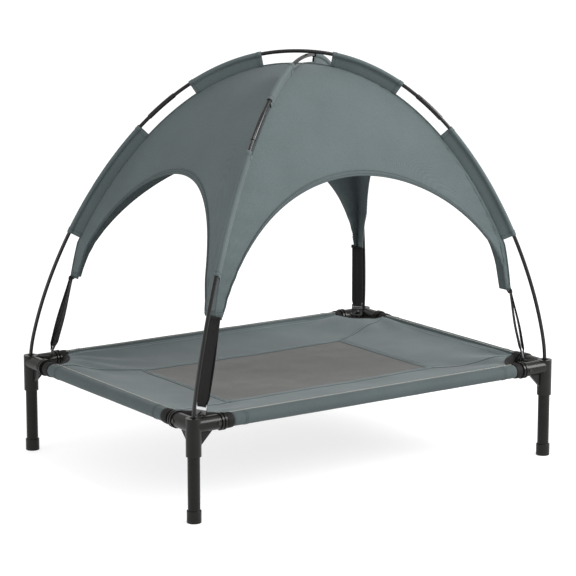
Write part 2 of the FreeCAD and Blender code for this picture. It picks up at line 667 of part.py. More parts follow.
for corner, (sx, sy) in CORNERS.items():
    build_foot(corner, sx, sy)
    build_leg(corner, sx, sy)
    build_connector(corner, sx, sy)
build_rail("long_rail_front", True, -1)
build_rail("long_rail_back", True, 1)
build_rail("side_rail_left", False, -1)
build_rail("side_rail_right", False, 1)
build_screws()
build_sling()
for corner, (sx, sy) in CORNERS.items():
    build_binding(corner, sx, sy)
for pole in POLES:
    build_pole(pole)
for name in GORES:
    build_gore(name)
for corner in CORNERS:
    build_sleeves(corner)
    build_strap(corner)
    build_eye_plate(corner)
doc.recompute()

for obj in doc.Objects:
    if "Invalid" in obj.State or "Error" in obj.State:
        raise RuntimeError("%s did not compute: %s" % (obj.Name, obj.State))
for obj in nodes:
    if obj.Shape.isNull() or not obj.Shape.isValid() or not obj.Shape.Solids:
        raise RuntimeError("%s has no valid solid" % obj.Label)

os.makedirs("parts", exist_ok=True)
for obj in nodes:
    obj.Shape.exportStep("parts/%s.step" % obj.Label)
print("wrote %d nodes" % len(nodes))
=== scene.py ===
import math

import bmesh
import bpy
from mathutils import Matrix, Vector, noise


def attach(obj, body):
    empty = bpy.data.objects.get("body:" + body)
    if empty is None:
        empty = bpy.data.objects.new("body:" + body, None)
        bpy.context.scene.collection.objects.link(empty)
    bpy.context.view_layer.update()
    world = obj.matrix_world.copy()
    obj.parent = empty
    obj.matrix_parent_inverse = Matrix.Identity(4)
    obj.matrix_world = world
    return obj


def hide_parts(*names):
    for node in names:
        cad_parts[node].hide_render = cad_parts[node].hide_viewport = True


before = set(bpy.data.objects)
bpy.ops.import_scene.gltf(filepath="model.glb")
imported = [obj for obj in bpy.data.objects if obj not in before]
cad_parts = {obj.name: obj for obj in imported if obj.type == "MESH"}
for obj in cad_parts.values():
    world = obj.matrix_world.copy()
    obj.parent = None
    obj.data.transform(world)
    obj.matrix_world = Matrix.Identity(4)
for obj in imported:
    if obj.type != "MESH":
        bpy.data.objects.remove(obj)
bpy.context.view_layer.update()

# Sizes in metres, in the CAD frame: X along the bed, Y across it, Z up.
UP = Vector((0, 0, 1))

# frame: corner posts, rail centre lines and tubes
HALF_X, HALF_Y = 0.445, 0.330
HALF_DIAGONAL = math.hypot(HALF_X, HALF_Y)
RAIL_Z = 0.1955
CORNERS = {"front_left": (-1, -1), "back_left": (-1, 1), "front_right": (1, -1), "back_right": (1, 1)}

# cloth wrapped round the rails: its middle radius, and how far its ends and its tape stay from a post
CLOTH_R = 0.0136
SLEEVE_LONG, SLEEVE_SIDE = 0.085, 0.097
BINDING_LONG, BINDING_SIDE = 0.071, 0.078

# cloth between the rails: its outer edge, the height there, its sag, and the steeper part by the rails
TRAY_INSET, TRAY_EDGE, TRAY_SAG = 0.012, 0.2035, 0.022
SHOULDER, SHOULDER_RUN = 0.010, 0.026
CUT_HOLLOW = 0.0145
MESH_X, MESH_Y = 0.260, 0.168
FLAT_POINTS, RING_POINTS = 22, 30
EDGE_X, EDGE_Y = HALF_X - TRAY_INSET, HALF_Y - TRAY_INSET
CUT_X, CUT_Y = HALF_X - SLEEVE_LONG, HALF_Y - SLEEVE_SIDE

# canopy poles: two half arches each, on super-ellipses from the sockets to the crossing
POLE_BASE, POLE_R = 0.211, 0.004
FLATNESS, STEEPNESS = 2.11, 1.42
LEAN_WAY = Vector((HALF_X, -HALF_Y, 0)).normalized()
POLES = {
    "a": {"run": Vector((HALF_X, -HALF_Y, 0)).normalized(), "top": 0.871, "lean": 0.022, "drop": 0.026},
    "b": {"run": Vector((HALF_X, HALF_Y, 0)).normalized(), "top": 0.8615, "lean": 0.043, "drop": 0.017},
}
HALF_OF = {"back_left": ("a", -1), "front_right": ("a", 1), "front_left": ("b", -1), "back_right": ("b", 1)}

# canopy ridges, below the poles by "drop" at the top, and the heights where the tails end
SIDE_DROP, LOW_DROP, LOW_START, LOW_RUN = 0.026, 0.020, 0.470, 0.090
HEMS = {"front_left": 0.408, "back_left": 0.400, "front_right": 0.376, "back_right": 0.388}
GORES = {
    "front": ("front_left", "front_right"), "right": ("front_right", "back_right"),
    "back": ("back_right", "back_left"), "left": ("back_left", "front_left"),
}

# arched openings
ARCH_BASE, ARCH_TOP, ARCH_POWER = 0.372, 0.632, 1.6
ARCH_LONG, ARCH_SHORT, ARCH_SHIFT = 0.362, 0.250, 0.013


# ---------------------------------------------------------------- small helpers

def clamp(x, low=0.0, high=1.0):
    return max(low, min(high, x))


def smooth(x):
    x = clamp(x)
    return x * x * (3 - 2 * x)


def spread(first, last, count):
    return [first + (last - first) * i / (count - 1) for i in range(count)]


def eased(first, last, count):
    """Like spread, with the steps growing shorter towards the last."""
    return [first + (last - first) * (1 - (1 - t) ** 1.8) for t in spread(0, 1, count)]


def bend(p, scale, seed=0.0):
    """Smooth seeded noise from -1 to 1."""
    return noise.noise(Vector(p) * scale + Vector((seed, seed * 0.7, seed * 1.3)))


def new_object(name, verts, faces, material, shade=True, uvs=None):
    mesh = bpy.data.meshes.new(name)
    mesh.from_pydata([tuple(v) for v in verts], [], faces)
    mesh.validate()
    if shade:
        for polygon in mesh.polygons:
            polygon.use_smooth = True
    obj = bpy.data.objects.new(name, mesh)
    bpy.context.scene.collection.objects.link(obj)
    if material is not None:
        mesh.materials.append(material)
    if uvs is not None:
        layer = mesh.uv_layers.new(name="cloth")
        for loop in mesh.loops:
            layer.data[loop.index].uv = uvs[loop.vertex_index]
    return obj


def weld(obj, distance=1e-5):
    work = bmesh.new()
    work.from_mesh(obj.data)
    bmesh.ops.remove_doubles(work, verts=work.verts, dist=distance)
    bmesh.ops.dissolve_degenerate(work, edges=work.edges, dist=distance)
    work.to_mesh(obj.data)
    work.free()
    return obj


def solidify(obj, thickness, offset=-1.0):
    mod = obj.modifiers.new("thickness", "SOLIDIFY")
    mod.thickness = thickness
    mod.offset = offset
    mod.use_even_offset = False
    return obj


def grid(name, rows, material, thickness=None, offset=-1.0, skip=None, close=False):
    """A sheet from rows of points, with a UV map that measures the cloth in metres."""
    columns = len(rows[0])
    verts = [p for row in rows for p in row]
    uvs = []
    down = [0.0] * columns
    for i, row in enumerate(rows):
        along = 0.0
        for j, p in enumerate(row):
            if j:
                along += (p - row[j - 1]).length
            if i:
                down[j] += (p - rows[i - 1][j]).length
            uvs.append((along, down[j]))
    faces = []
    last = columns if close else columns - 1
    for i in range(len(rows) - 1):
        for j in range(last):
            if skip and skip(i, j):
                continue
            k = (j + 1) % columns
            faces.append((i * columns + j, i * columns + k, (i + 1) * columns + k, (i + 1) * columns + j))
    obj = new_object(name, verts, faces, material, uvs=uvs)
    weld(obj)
    if thickness:
        solidify(obj, thickness, offset)
    return obj


def join_meshes(name, parts, material):
    """One object from (verts, faces) parts."""
    verts, faces = [], []
    for part_verts, part_faces in parts:
        start = len(verts)
        verts += part_verts
        faces += [tuple(start + i for i in f) for f in part_faces]
    return new_object(name, verts, faces, material)


def frames_along(path, up_hint):
    """Unit vectors (ahead, across, up) at each point of a path."""
    result = []
    for i, p in enumerate(path):
        ahead = (path[min(i + 1, len(path) - 1)] - path[max(i - 1, 0)]).normalized()
        hint = up_hint[i] if isinstance(up_hint, list) else up_hint
        across = ahead.cross(hint)
        if across.length < 1e-6:
            across = ahead.cross(Vector((1, 0, 0)))
        across.normalize()
        result.append((ahead, across, across.cross(ahead).normalized()))
    return result


def tube_part(path, radius, sides=8, up_hint=UP, flat=1.0):
    """Verts and faces of a closed rod along a path; flat squashes it towards its base."""
    verts, faces = [], []
    for p, (ahead, across, up) in zip(path, frames_along(path, up_hint)):
        for k in range(sides):
            angle = 2 * math.pi * k / sides
            verts.append(p + across * (radius * math.cos(angle)) + up * (radius * flat * math.sin(angle)))
    count = len(path)
    for i in range(count - 1):
        for k in range(sides):
            m = (k + 1) % sides
            faces.append((i * sides + k, i * sides + m, (i + 1) * sides + m, (i + 1) * sides + k))
    faces.append(tuple(reversed(range(sides))))
    faces.append(tuple((count - 1) * sides + k for k in range(sides)))
    return verts, faces


def resample(path, normals, step):
    """Points, normals and directions at equal steps along a path."""
    out, carried = [], 0.0
    for i in range(len(path) - 1):
        a, b = path[i], path[i + 1]
        length = (b - a).length
        if length < 1e-9:
            continue
        at = carried
        while at < length:
            t = at / length
            out.append((a.lerp(b, t), normals[i].lerp(normals[i + 1], t).normalized(), (b - a) / length))
            at += step
        carried = at - length
    return out


STITCH, STITCH_STEP, THREAD_R = 0.0030, 0.0044, 0.00042


def stitch_parts(path, normals):
    """A row of short raised thread stitches along a path."""
    parts = []
    for p, n, t in resample(path, normals, STITCH_STEP):
        side = t.cross(n).normalized()
        half = t * (STITCH / 2)
        ring = []
        for along, lift in ((-1, -0.2), (-0.55, 0.75), (0.55, 0.75), (1, -0.2)):
            centre = p + half * along + n * (THREAD_R * lift)
            size = THREAD_R * (0.45 if abs(along) == 1 else 1.0)
            ring.append([centre + side * size, centre + n * size, centre - side * size, centre - n * size])
        verts = [v for r in ring for v in r]
        faces = [(i * 4 + k, i * 4 + (k + 1) % 4, (i + 1) * 4 + (k + 1) % 4, (i + 1) * 4 + k)
                 for i in range(3) for k in range(4)]
        faces += [(3, 2, 1, 0), (12, 13, 14, 15)]
        parts.append((verts, faces))
    return parts


# ---------------------------------------------------------------- materials

def nodes_of(material):
    material.use_nodes = True
    tree = material.node_tree
    return tree, tree.nodes["Principled BSDF"]


def ramp(tree, source, stops):
    node = tree.nodes.new("ShaderNodeValToRGB")
    while len(node.color_ramp.elements) < len(stops):
        node.color_ramp.elements.new(0.5)
    for element, (position, colour) in zip(node.color_ramp.elements, stops):
        element.position = position
        element.color = (*colour, 1)
    tree.links.new(source, node.inputs["Fac"])
    return node.outputs["Color"]


def noise_tex(tree, vector, scale, detail=3.0, rough=0.5):
    node = tree.nodes.new("ShaderNodeTexNoise")
    node.inputs["Scale"].default_value = scale
    node.inputs["Detail"].default_value = detail
    node.inputs["Roughness"].default_value = rough
    tree.links.new(vector, node.inputs["Vector"])
    return node.outputs["Fac"]


def cloth_uv(tree):
    """The cloth's own UV map, in metres."""
    node = tree.nodes.new("ShaderNodeUVMap")
    node.uv_map = "cloth"
    return node.outputs["UV"]


def object_coords(tree):
    return tree.nodes.new("ShaderNodeTexCoord").outputs["Object"]


def split_xyz(tree, vector):
    node = tree.nodes.new("ShaderNodeSeparateXYZ")
    tree.links.new(vector, node.inputs["Vector"])
    return node.outputs


def math_node(tree, operation, a, b=None):
    node = tree.nodes.new("ShaderNodeMath")
    node.operation = operation
    for socket, value in zip(node.inputs, (a, b)):
        if value is None:
            continue
        if isinstance(value, (int, float)):
            socket.default_value = value
        else:
            tree.links.new(value, socket)
    return node.outputs["Value"]


def mix_colour(tree, factor, a, b):
    node = tree.nodes.new("ShaderNodeMix")
    node.data_type = "RGBA"
    colour_a, colour_b = node.inputs[6], node.inputs[7]
    tree.links.new(factor, node.inputs[0])
    for socket, value in ((colour_a, a), (colour_b, b)):
        if isinstance(value, tuple):
            socket.default_value = (*value, 1)
        else:
            tree.links.new(value, socket)
    return node.outputs[2]


def add_bump(tree, shader, height, strength, distance):
    bump = tree.nodes.new("ShaderNodeBump")
    bump.inputs["Strength"].default_value = strength
    bump.inputs["Distance"].default_value = distance
    tree.links.new(height, bump.inputs["Height"])
    tree.links.new(bump.outputs["Normal"], shader.inputs["Normal"])


def woven(name, dark, light, thread=0.0009, sheen=0.25, roughness=0.85, weave=0.5):
    """Plain-weave cloth: crossed threads, thread-to-thread tone and slow mottling."""
    material = bpy.data.materials.new(name)
    tree, shader = nodes_of(material)
    coords, uv = object_coords(tree), split_xyz(tree, cloth_uv(tree))
    turn = math.pi / thread
    warp = math_node(tree, "SINE", math_node(tree, "MULTIPLY", uv["X"], turn))
    weft = math_node(tree, "SINE", math_node(tree, "MULTIPLY", uv["Y"], turn))
    cross = math_node(tree, "MULTIPLY", warp, weft)
    height = math_node(tree, "MULTIPLY_ADD", cross, 0.5)
    height.node.inputs[2].default_value = 0.5
    slub = noise_tex(tree, coords, 420.0, 2.0, 0.6)
    mottle = noise_tex(tree, coords, 9.0, 4.0, 0.55)
    tone = math_node(tree, "ADD", math_node(tree, "MULTIPLY", slub, 0.45),
                     math_node(tree, "MULTIPLY", mottle, 0.35))
    tone = math_node(tree, "ADD", tone, math_node(tree, "MULTIPLY", height, 0.20))
    tree.links.new(ramp(tree, tone, [(0.30, dark), (0.68, light)]), shader.inputs["Base Color"])
    shader.inputs["Roughness"].default_value = roughness
    shader.inputs["Specular IOR Level"].default_value = 0.25
    shader.inputs["Sheen Weight"].default_value = sheen
    shader.inputs["Sheen Roughness"].default_value = 0.5
    add_bump(tree, shader, math_node(tree, "ADD", math_node(tree, "MULTIPLY", height, weave), slub),
             0.25, 0.0004)
    return material


def mesh_cloth(name):
    """Sports mesh: small round holes in rows between brownish-grey threads, the holes not open but painted
    near black as painted shade seen through them.
    """
    material = bpy.data.materials.new(name)
    tree, shader = nodes_of(material)
    coords = object_coords(tree)
    holes = tree.nodes.new("ShaderNodeTexVoronoi")
    holes.inputs["Scale"].default_value = 420.0
    holes.inputs["Randomness"].default_value = 0.12
    tree.links.new(cloth_uv(tree), holes.inputs["Vector"])
    mottle = noise_tex(tree, coords, 14.0, 4.0, 0.6)
    fibre = noise_tex(tree, coords, 650.0, 2.0, 0.6)
    tone = math_node(tree, "ADD", math_node(tree, "MULTIPLY", mottle, 0.5),
                     math_node(tree, "MULTIPLY", fibre, 0.5))
    thread = ramp(tree, tone, [(0.35, (0.025, 0.0255, 0.022)), (0.65, (0.043, 0.043, 0.037))])
    # holes painted near black: painted shade where one would see under the bed
    hole_shade_mask = ramp(tree, holes.outputs["Distance"], [(0.25, (0, 0, 0)), (0.42, (1, 1, 1))])
    tree.links.new(mix_colour(tree, hole_shade_mask, (0.012, 0.012, 0.011), thread), shader.inputs["Base Color"])
    shader.inputs["Roughness"].default_value = 0.8
    shader.inputs["Sheen Weight"].default_value = 0.15
    add_bump(tree, shader, hole_shade_mask, 0.5, 0.0004)
    return material


def plastic(name, dark, light, roughness, coat=0.0, grain=900.0, grain_bump=0.06, gloss=0.25):
    """Moulded or lacquered surface with faint grain, smudges and slightly uneven gloss."""
    material = bpy.data.materials.new(name)
    tree, shader = nodes_of(material)
    coords = object_coords(tree)
    fine = noise_tex(tree, coords, grain, 2.0, 0.5)
    smudge = noise_tex(tree, coords, 22.0, 5.0, 0.6)
    tree.links.new(ramp(tree, smudge, [(0.3, dark), (0.7, light)]), shader.inputs["Base Color"])
    uneven = tree.nodes.new("ShaderNodeMapRange")
    uneven.inputs["To Min"].default_value = roughness * 0.85
    uneven.inputs["To Max"].default_value = roughness * 1.25
    tree.links.new(smudge, uneven.inputs["Value"])
    tree.links.new(uneven.outputs["Result"], shader.inputs["Roughness"])
    shader.inputs["Specular IOR Level"].default_value = gloss
    shader.inputs["Coat Weight"].default_value = coat
    shader.inputs["Coat Roughness"].default_value = 0.12
    add_bump(tree, shader, fine, grain_bump, 0.0003)
    return material


def metal(name, colour, roughness):
    """Bare metal with fine scratches."""
    material = bpy.data.materials.new(name)
    tree, shader = nodes_of(material)
    scratch = noise_tex(tree, object_coords(tree), 300.0, 4.0, 0.7)
    darker = tuple(c * 0.8 for c in colour)
    tree.links.new(ramp(tree, scratch, [(0.3, darker), (0.7, colour)]), shader.inputs["Base Color"])
    shader.inputs["Metallic"].default_value = 1.0
    shader.inputs["Roughness"].default_value = roughness
    add_bump(tree, shader, scratch, 0.08, 0.0002)
    return material


def metal_black_below(name, colour, roughness, lower_colour, line):
    """Polished metal whose lower part, below a level of its own box, is near black."""
    material = metal(name, colour, roughness)
    tree, shader = nodes_of(material)
    own_box = split_xyz(tree, tree.nodes.new("ShaderNodeTexCoord").outputs["Generated"])
    bare = ramp(tree, own_box["Z"], [(line - 0.02, (0, 0, 0)), (line + 0.02, (1, 1, 1))])
    shine = shader.inputs["Base Color"].links[0].from_socket
    tree.links.new(mix_colour(tree, bare, lower_colour, shine), shader.inputs["Base Color"])
    tree.links.new(bare, shader.inputs["Metallic"])
    return material


def tape(name, dark, light, rib=0.0016):
    """Woven tape or elastic: ribs across its length and a little lint."""
    material = bpy.data.materials.new(name)
    tree, shader = nodes_of(material)
    along = split_xyz(tree, cloth_uv(tree))["X"]
    ribs = math_node(tree, "SINE", math_node(tree, "MULTIPLY", along, 2 * math.pi / rib))
    lint = noise_tex(tree, object_coords(tree), 500.0, 3.0, 0.6)
    tone = math_node(tree, "ADD", math_node(tree, "MULTIPLY", ribs, 0.12), lint)
    tree.links.new(ramp(tree, tone, [(0.35, dark), (0.75, light)]), shader.inputs["Base Color"])
    shader.inputs["Roughness"].default_value = 0.65
    shader.inputs["Specular IOR Level"].default_value = 0.12
    add_bump(tree, shader, math_node(tree, "ADD", ribs, lint), 0.3, 0.0003)
    return material


BED_CLOTH = woven("bed_cloth_weave", (0.056, 0.071, 0.073), (0.087, 0.109, 0.111), sheen=0.1)
# darker copy of the bed cloth for the sleeves round the rails: painted shade
SHADED_WRAP_CLOTH = woven("bed_wrap_painted_shade_weave", (0.036, 0.047, 0.049), (0.058, 0.075, 0.077), sheen=0.06)
CANOPY_CLOTH = woven("canopy_cloth_weave", (0.046, 0.060, 0.062), (0.071, 0.091, 0.093), sheen=0.1)
SEAM_CLOTH = woven("canopy_seam_weave", (0.038, 0.050, 0.052), (0.060, 0.077, 0.079), sheen=0.1)
# darker copy of the bed cloth for the seam bands: painted shade along the seams
SHADED_BED_SEAM = woven("bed_seam_painted_shade_weave", (0.040, 0.052, 0.053), (0.064, 0.081, 0.082), sheen=0.08)
# light cream thread for the sleeves' lips: a painted highlight of the lip's crown
LIP_HIGHLIGHT_THREAD = plastic("lip_highlight_thread", (0.46, 0.44, 0.37), (0.60, 0.57, 0.49), 0.6, grain=2500.0)
MESH_CLOTH = mesh_cloth("bed_mesh_net")
BINDING = tape("binding_tape", (0.005, 0.005, 0.005), (0.014, 0.014, 0.0135))
ELASTIC = tape("strap_elastic", (0.006, 0.006, 0.006), (0.018, 0.018, 0.0175), rib=0.0013)
THREAD = plastic("sewing_thread", (0.20, 0.25, 0.26), (0.30, 0.36, 0.37), 0.6, grain=2500.0)
DARK_THREAD = plastic("dark_thread", (0.03, 0.04, 0.042), (0.06, 0.075, 0.08), 0.6, grain=2500.0)
MOULDED = plastic("moulded_black", (0.0052, 0.0055, 0.0046), (0.0085, 0.0089, 0.0075), 0.30, coat=0.10,
                  grain_bump=0.10, gloss=0.14)
TUBE = plastic("tube_enamel", (0.0048, 0.0051, 0.0043), (0.0078, 0.0081, 0.0069), 0.26, coat=0.06,
               gloss=0.13)
POLE_BLACK = plastic("pole_fibreglass", (0.004, 0.004, 0.004), (0.007, 0.007, 0.0067), 0.28, coat=0.05)
FERRULE = plastic("ferrule_enamel", (0.0035, 0.0035, 0.0035), (0.006, 0.006, 0.006), 0.2, coat=0.1)
STEEL = metal_black_below("plate_steel", (0.27, 0.275, 0.28), 0.34, (0.008, 0.008, 0.008), 0.60)
SCREW = metal("screw_black_oxide", (0.045, 0.045, 0.043), 0.3)
CORD = tape("cord_braid", (0.5, 0.5, 0.48), (0.75, 0.75, 0.72))

NODE_MATERIALS = {
    "corner_connector": MOULDED, "foot_cap": MOULDED, "leg_tube": TUBE, "long_rail": TUBE,
    "side_rail": TUBE, "rail_screws": SCREW, "pole_top": POLE_BLACK, "pole_lower": POLE_BLACK,
    "pole_ferrule": FERRULE, "shock_cord": CORD, "strap_eye_plate": STEEL,
}


def dress_nodes():
    for name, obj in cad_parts.items():
        for prefix, material in NODE_MATERIALS.items():
            if name.startswith(prefix):
                obj.data.materials.clear()
                obj.data.materials.append(material)


# ---------------------------------------------------------------- fabric bed

def tray_height(x, y):
    """Slack cloth between the rails, with pull lines towards the corners and soft ripples."""
    share_x, share_y = min(abs(x) / EDGE_X, 1), min(abs(y) / EDGE_Y, 1)
    drop = (1 - share_x ** 4) * (1 - share_y ** 4)
    shoulder = (1 - math.exp((share_x - 1) * EDGE_X / SHOULDER_RUN)) \
        * (1 - math.exp((share_y - 1) * EDGE_Y / SHOULDER_RUN))
    from_post = math.hypot(HALF_X - abs(x), HALF_Y - abs(y))
    shoulder *= smooth((from_post - 0.09) / 0.12)
    z = TRAY_EDGE - (TRAY_SAG - SHOULDER) * drop - SHOULDER * shoulder
    middle = min(1.0, 4 * drop)
    for height, scale, seed in ((0.0022, 7.0, 3.1), (0.0009, 22.0, 8.4)):
        z += height * middle * bend((x, y, 0.0), scale, seed)
    for sx, sy in CORNERS.values():
        dx, dy = HALF_X - sx * x, HALF_Y - sy * y
        away = math.hypot(dx, dy)
        angle = math.atan2(dy, dx)
        fade = smooth((0.30 - away) / 0.20) * smooth((away - 0.07) / 0.06)
        wave = math.sin(angle * 15 + 2.2 * math.sin(3 * angle + sx) + sy)
        z += 0.0030 * fade * wave
    return z


def tray_point(x, y):
    return Vector((x, y, tray_height(x, y)))


def sleeve_ring(inward, rail_centre, station):
    """Points of the cloth round a rail at one station, from inside, over the top, to below."""
    start, end, lip_at = math.radians(26), math.radians(352), math.radians(58)
    points = []
    for angle in spread(start, end, RING_POINTS):
        swell = 0.00035 * bend((station * 3, angle * 1.6, 1.0), 9.0, 5.0)
        lip = 0.0011 * math.exp(-((angle - lip_at) / 0.10) ** 2)
        radius = CLOTH_R + swell + lip
        points.append(rail_centre + inward * (radius * math.cos(angle)) + UP * (radius * math.sin(angle)))
    return points


def seam_at(a, mesh_half, mesh_side, end, end_side):
    """Where a panel's inner seam lies: along the mesh, then straight out to its end at the cut-out."""
    if a <= mesh_half:
        return mesh_side
    return mesh_side + (end_side - mesh_side) * (a - mesh_half) / (end - mesh_half)


def panel_columns(long_strip, sign):
    """Rows of points for one sewn panel, seam to rail and round it, one column per station."""
    if long_strip:
        stations = (spread(-EDGE_X, -CUT_X, 9)[:-1] + spread(-CUT_X, CUT_X, 93)
                    + spread(CUT_X, EDGE_X, 9)[1:])
    else:
        stations = spread(-CUT_Y, CUT_Y, 65)
    columns, wrapped = [], []
    for s in stations:
        a = abs(s)
        if long_strip:
            seam = seam_at(a, MESH_X, MESH_Y, EDGE_X, CUT_Y)
            has_sleeve = a <= CUT_X + 1e-9
            share = clamp((a - CUT_X) / (EDGE_X - CUT_X))
            outer = EDGE_Y + (CUT_Y - EDGE_Y) * share - CUT_HOLLOW * math.sin(math.pi * share) ** 2
            flat = [tray_point(s, sign * v) for v in eased(seam, outer, FLAT_POINTS)]
            rail = Vector((s, sign * HALF_Y, RAIL_Z))
            inward = Vector((0, -sign, 0))
        else:
            seam = seam_at(a, MESH_Y, MESH_X, CUT_Y, EDGE_X)
            has_sleeve = True
            flat = [tray_point(sign * v, s) for v in eased(seam, EDGE_X, FLAT_POINTS)]
            rail = Vector((sign * HALF_X, s, RAIL_Z))
            inward = Vector((-sign, 0, 0))
        ring = sleeve_ring(inward, rail, s) if has_sleeve else [flat[-1]] * RING_POINTS
        columns.append(flat + ring)
        wrapped.append(has_sleeve)
    return columns, wrapped


def build_panel(name, node, long_strip, sign):
    """One sewn panel of the bed with its sleeve, in a darker copy of the cloth as painted shade where it goes
    round the rail.
    """
    columns, wrapped = panel_columns(long_strip, sign)

    def skip(i, j):
        return j >= FLAT_POINTS - 1 and not (wrapped[i] and wrapped[i + 1])

    obj = grid(name, columns, BED_CLOTH, 0.0007, 0.0, skip=skip)
    obj.data.materials.append(SHADED_WRAP_CLOTH)
    # faces round the rail take the darker copy of the cloth: painted shade on the sleeve
    for polygon in obj.data.polygons:
        inset = HALF_Y - abs(polygon.center.y) if long_strip else HALF_X - abs(polygon.center.x)
        if inset < 0.75 * CLOTH_R:
            polygon.material_index = 1
    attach(obj, "bed")
    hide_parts(node)


def surface_normal(x, y):
    d = 1e-3
    a = tray_point(x + d, y) - tray_point(x - d, y)
    b = tray_point(x, y + d) - tray_point(x, y - d)
    return a.cross(b).normalized()


def bed_line(points, count=60, lift=0.0):
    """A path laid on the tray through plan points, with its normals."""
    path, normals = [], []
    for (ax, ay), (bx, by) in zip(points, points[1:]):
        for t in spread(0, 1, count):
            x, y = ax + (bx - ax) * t, ay + (by - ay) * t
            n = surface_normal(x, y)
            path.append(tray_point(x, y) + n * lift)
            normals.append(n)
    return path, normals


def flat_strip(name, path, normals, width, material, thickness=0.0007, crown=0.0004):
    """A narrow band of tape laid on a surface along a path, edges down and middle raised."""
    rows = []
    for i, p in enumerate(path):
        ahead = (path[min(i + 1, len(path) - 1)] - path[max(i - 1, 0)]).normalized()
        side = ahead.cross(normals[i]).normalized()
        rows.append([p + side * (width * t / 2) + normals[i] * (crown * (1 - t * t) + thickness)
                     for t in (-1, -0.8, -0.4, 0, 0.4, 0.8, 1)])
    return grid(name, rows, material, thickness)


# width of the seams, and how far their stitch rows lie from the middle of the seam or from the rail
BORDER_WIDTH, MITRE_WIDTH, BORDER_ROW, SLEEVE_ROW = 0.013, 0.007, 0.0042, 0.0075


def rail_edge_line(long_rail, sign):
    """Straight line along the lip that a rail's sleeve makes at its inner side."""
    lip, radius = math.radians(62), CLOTH_R + 0.0019
    far = (HALF_Y if long_rail else HALF_X) - math.cos(lip) * radius
    half, z = CUT_X if long_rail else CUT_Y, RAIL_Z + math.sin(lip) * radius
    return [Vector((t, sign * far, z)) if long_rail else Vector((sign * far, t, z))
            for t in spread(-half, half, 60)]


def build_bed():
    """Panels, mesh, and every seam and stitch row on them."""
    for name, sign in (("front", -1), ("back", 1)):
        node = "sling_strip_" + name
        build_panel(node + "_cloth", node, True, sign)
    for name, sign in (("left", -1), ("right", 1)):
        node = "sling_end_" + name
        build_panel(node + "_cloth", node, False, sign)
    rows = [[tray_point(x, y) for x in spread(-MESH_X, MESH_X, 81)] for y in spread(-MESH_Y, MESH_Y, 55)]
    net = grid("mesh_panel_net", rows, MESH_CLOTH, 0.0006, 0.0)
    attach(net, "bed")
    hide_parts("mesh_panel")

    # flat-felled seam round the mesh, and from its corners out to the corner cut-outs, its bands darker as
    # painted shade along the seams
    bands, stitches = [], []
    ring = [(-MESH_X, -MESH_Y), (MESH_X, -MESH_Y), (MESH_X, MESH_Y), (-MESH_X, MESH_Y), (-MESH_X, -MESH_Y)]
    for index, (a, b) in enumerate(zip(ring, ring[1:])):
        path, normals = bed_line([a, b])
        band = flat_strip("mesh_border_%d" % index, path, normals, BORDER_WIDTH, SHADED_BED_SEAM, 0.0006, 0.0007)
        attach(band, "bed")
        bands.append(band)
        for shift in (-BORDER_ROW, BORDER_ROW):
            side = Vector((b[1] - a[1], a[0] - b[0], 0)).normalized() * shift
            line, line_normals = bed_line([(a[0] + side.x, a[1] + side.y), (b[0] + side.x, b[1] + side.y)],
                                          lift=0.0017)
            stitches += stitch_parts(line, line_normals)
    for sx, sy in CORNERS.values():
        start, end = (sx * MESH_X, sy * MESH_Y), (sx * EDGE_X, sy * CUT_Y)
        path, normals = bed_line([start, end], 50)
        band = flat_strip("mitre_seam_%s_%s" % ("lr"[sx > 0], "fb"[sy > 0]), path, normals, MITRE_WIDTH,
                          SHADED_BED_SEAM, 0.0006, 0.0008)
        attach(band, "bed")
        bands.append(band)
        line, line_normals = bed_line([start, end], 50, lift=0.0019)
        stitches += stitch_parts(line, line_normals)
    # the row that closes each sleeve, just inside the rail
    far_x, far_y = EDGE_X - SLEEVE_ROW, EDGE_Y - SLEEVE_ROW
    for sign in (-1, 1):
        for a, b in (((-CUT_X, sign * far_y), (CUT_X, sign * far_y)),
                     ((sign * far_x, -CUT_Y), (sign * far_x, CUT_Y))):
            line, line_normals = bed_line([a, b], 80, lift=0.0007)
            stitches += stitch_parts(line, line_normals)
    # cream stitch rows along each sleeve's lip, their light colour a painted highlight where the lip catches
    # light
    highlight_stitch_parts = []
    for sign in (-1, 1):
        for long_rail in (True, False):
            line = rail_edge_line(long_rail, sign)
            highlight_stitch_parts += stitch_parts(line, [UP] * len(line))
    highlight_thread = join_meshes("rail_edge_highlight_stitches", highlight_stitch_parts, LIP_HIGHLIGHT_THREAD)
    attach(highlight_thread, "bed")
    thread = join_meshes("bed_stitches", stitches, THREAD)
    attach(thread, "bed")


CUFF_ROW = 0.030


def rail_ways(sx, sy, long_rail):
    """Unit vectors at a corner: square to a rail into the bed, and along the rail from the post."""
    to_middle_x, to_middle_y = Vector((-sx, 0, 0)), Vector((0, -sy, 0))
    return (to_middle_y, to_middle_x) if long_rail else (to_middle_x, to_middle_y)


def build_sleeve_cuffs():
    """Two stitch rows round each sleeve, near its end."""
    parts = []
    for sx, sy in CORNERS.values():
        for long_rail in (True, False):
            inward, along = rail_ways(sx, sy, long_rail)
            station = (SLEEVE_LONG if long_rail else SLEEVE_SIDE) + CUFF_ROW
            centre = Vector((sx * HALF_X, sy * HALF_Y, RAIL_Z)) + along * station
            turn = spread(math.radians(40), math.radians(330), 60)
            normals = [inward * math.cos(angle) + UP * math.sin(angle) for angle in turn]
            ring = [centre + n * (CLOTH_R + 0.0007) for n in normals]
            for shift in (0.0, 0.005):
                parts += stitch_parts([p + along * shift for p in ring], normals)
    thread = join_meshes("sleeve_end_stitches", parts, DARK_THREAD)
    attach(thread, "bed")


# tape along a cut-out: how far it bows in, how wide it is, and how far its free edge hangs
TAPE_HOLLOW, TAPE_REACH, TAPE_DROP = 0.0135, 0.016, 0.0095


